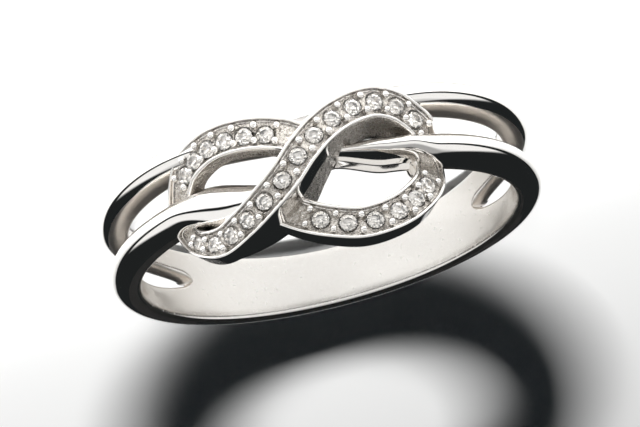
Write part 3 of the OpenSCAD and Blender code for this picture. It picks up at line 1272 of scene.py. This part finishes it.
@dataclass
class Studio:
    """A pale floor, a black card, soft light and the camera.

    Places and sizes are in mm. The world's bands lie between heights on a sphere of radius 1,
    and only the metal, the stones and the floor's sheen see it.
    """

    floor_z: float = -1.92
    floor_reach: float = 400.0
    camera_at: Place = (-4.430, -208.931, 69.262)
    camera_right: Place = (-0.96635288, 0.09925814, 0.23729715)
    camera_up: Place = (-0.25640505, -0.29834492, -0.91937303)
    camera_back: Place = (-0.02045886, -0.94928296, 0.31375676)
    lens: float = 276.1
    sensor: float = 36.0
    sight: Point = (10.0, 10000.0)
    horizon: Point = (0.17, 0.22)
    wall_light: float = 1.05
    ceiling: Point = (0.62, 0.85)
    ceiling_light: float = 0.42
    lean: float = 0.5
    dark_from: Point = (0.5, 0.66)
    dark_light: float = 0.0
    glow_colour: str = "#90989B"
    glow_light: float = 0.055
    flag_at: Place = (2.1, 36.0, 9.0)
    flag_outer: Point = (12.0, 30.0)
    flag_hole: Point = (0.3, -0.5)
    flag_inner: Point = (6.4, 13.0)
    flag_sides: int = 48
    flag_colour: str = "#060606"
    flag_roughness: float = 0.9
    floor_colour: str = "#F4F4F3"
    floor_roughness: float = 0.6
    floor_sheen: float = 0.7
    floor_tint: str = "#5CB4E8"
    lamps: tuple[Lamp, ...] = (
        Lamp("top", (10.0, -110.0, 200.0), (0.0, 0.0, 0.0), (85.0, 85.0), 0.8),
        Lamp("skim", (0.0, -75.0, 18.0), (0.0, -11.0, -1.9), (70.0, 5.0), 0.012, 9.0),
    )

    def paint(
        self, name: str, hex_colour: str, roughness: float, sheen: float = 0.5, tint: str = WHITE,
    ) -> bpy.types.Material:
        """Make a plain painted material for the floor or a card.

        Args:
            name: Name of the material.
            hex_colour: Its colour.
            roughness: Its roughness.
            sheen: Strength of its sheen.
            tint: Colour of its sheen.

        Returns:
            The material.
        """
        made, shader = add_material(name)
        shader.inputs["Base Color"].default_value = linear(hex_colour)
        shader.inputs["Roughness"].default_value = roughness
        shader.inputs["Specular IOR Level"].default_value = sheen
        shader.inputs["Specular Tint"].default_value = linear(tint)
        return made

    def card(
        self, name: str, points: Sequence[Place], faces: Sequence[Sequence[int]],
        material: bpy.types.Material,
    ) -> bpy.types.Object:
        """Stand a thin card on the set.

        Args:
            name: Name of the card.
            points: Its points in mm.
            faces: Its faces, each a list of point numbers.
            material: Its paint.

        Returns:
            The card.
        """
        mesh = bpy.data.meshes.new(name)
        mesh.from_pydata([Vector(p) * MM for p in points], [], [list(f) for f in faces])
        mesh.materials.append(material)
        made = add_object(name, mesh)
        return made

    def floor(self) -> None:
        """Lay the floor under the ring."""
        r, z = self.floor_reach, self.floor_z
        corners = [(-r, -r, z), (r, -r, z), (r, r, z), (-r, r, z)]
        look = (self.floor_colour, self.floor_roughness, self.floor_sheen, self.floor_tint)
        paint = self.paint("matt floor", *look)
        self.card("floor", corners, [range(4)], paint)

    def step(self, tree: bpy.types.NodeTree, value: Socket, ends: Point, levels: Point) -> Socket:
        """Step smoothly from one level to another.

        Args:
            tree: The world's tree.
            value: What the step follows.
            ends: Values between which it steps.
            levels: Levels before and after it.

        Returns:
            The level.
        """
        return add_node(tree, "ShaderNodeMapRange", {
            "Value": value, "From Min": ends[0], "From Max": ends[1],
            "To Min": levels[0], "To Max": levels[1],
        }, interpolation_type="SMOOTHSTEP").outputs["Result"]

    def sky(self) -> None:
        """Light the set from all round: a white wall in front, grey above, black behind."""
        world = bpy.data.worlds.new("studio")
        bpy.context.scene.world = world
        world.use_nodes = True
        tree = world.node_tree
        tree.nodes.clear()
        way = add_node(tree, "ShaderNodeTexCoord").outputs["Generated"]
        parts = add_node(tree, "ShaderNodeSeparateXYZ", {"Vector": way}).outputs
        lean = add_node(tree, "ShaderNodeMath", {
            0: parts["Z"], 1: self.lean, 2: parts["Y"],
        }, operation="MULTIPLY_ADD").outputs[0]
        front = self.step(tree, parts["Z"], self.ceiling, (self.wall_light, self.ceiling_light))
        behind = self.step(tree, lean, self.dark_from, (0.0, 1.0))
        level = add_node(tree, "ShaderNodeMix", {
            0: behind, 2: front, 3: self.dark_light,
        }).outputs[0]
        horizon = self.step(tree, parts["Z"], self.horizon, (0.0, 1.0))
        level = add_node(tree, "ShaderNodeMath", {
            0: level, 1: horizon,
        }, operation="MULTIPLY").outputs[0]
        light = add_node(tree, "ShaderNodeBackground", {"Color": linear(WHITE), "Strength": level})
        glow = add_node(tree, "ShaderNodeBackground", {
            "Color": linear(self.glow_colour), "Strength": self.glow_light,
        })
        both = add_node(tree, "ShaderNodeAddShader", {0: light.outputs[0], 1: glow.outputs[0]})
        add_node(tree, "ShaderNodeOutputWorld", {"Surface": both.outputs[0]})
        world.cycles_visibility.diffuse = False

    def flag(self) -> None:
        """Hang a black hoop of card over the far floor, out of sight, for its soft shadow."""
        x, y, z = self.flag_at
        hole_x, hole_y = x + self.flag_hole[0], y + self.flag_hole[1]
        ovals = ((hole_x, hole_y, *self.flag_inner), (x, y, *self.flag_outer))
        points, faces = [], []
        for i in range(self.flag_sides):
            turn = math.tau * i / self.flag_sides
            for cx, cy, across, along in ovals:
                points.append((cx + across * math.cos(turn), cy + along * math.sin(turn), z))
            a, b = 2 * i, 2 * ((i + 1) % self.flag_sides)
            faces.append((a, a + 1, b + 1, b))
        paint = self.paint("black card", self.flag_colour, self.flag_roughness)
        card = self.card("flag", points, faces, paint)
        card.visible_camera = False

    def camera(self) -> None:
        """Set the camera at the photograph's angle."""
        data = bpy.data.cameras.new("camera")
        data.sensor_fit = "HORIZONTAL"
        data.sensor_width = self.sensor
        data.lens = self.lens
        data.clip_start, data.clip_end = (reach * MM for reach in self.sight)
        made = add_object("camera", data)
        turn = Matrix((self.camera_right, self.camera_up, self.camera_back)).transposed().to_4x4()
        made.matrix_world = Matrix.Translation(Vector(self.camera_at) * MM) @ turn
        bpy.context.scene.camera = made

    def build(self) -> None:
        """Set up the whole studio."""
        self.camera()
        self.floor()
        self.sky()
        self.flag()
        for lamp in self.lamps:
            lamp.hang()
        bpy.context.scene.view_settings.view_transform = "Standard"


def main() -> None:
    """Build the studio and the ring's parts in order."""
    logging.basicConfig(level=logging.INFO, format="%(name)s: %(message)s")
    Studio().build()
    band = Band()
    band.dress(band.build())
    ribbon = KnotRibbon()
    ribbon.dress(ribbon.build())
    beads = SettingBeads(ribbon)
    beads.dress(beads.build())
    Stones().dress()


if __name__ == "__main__":
    main()
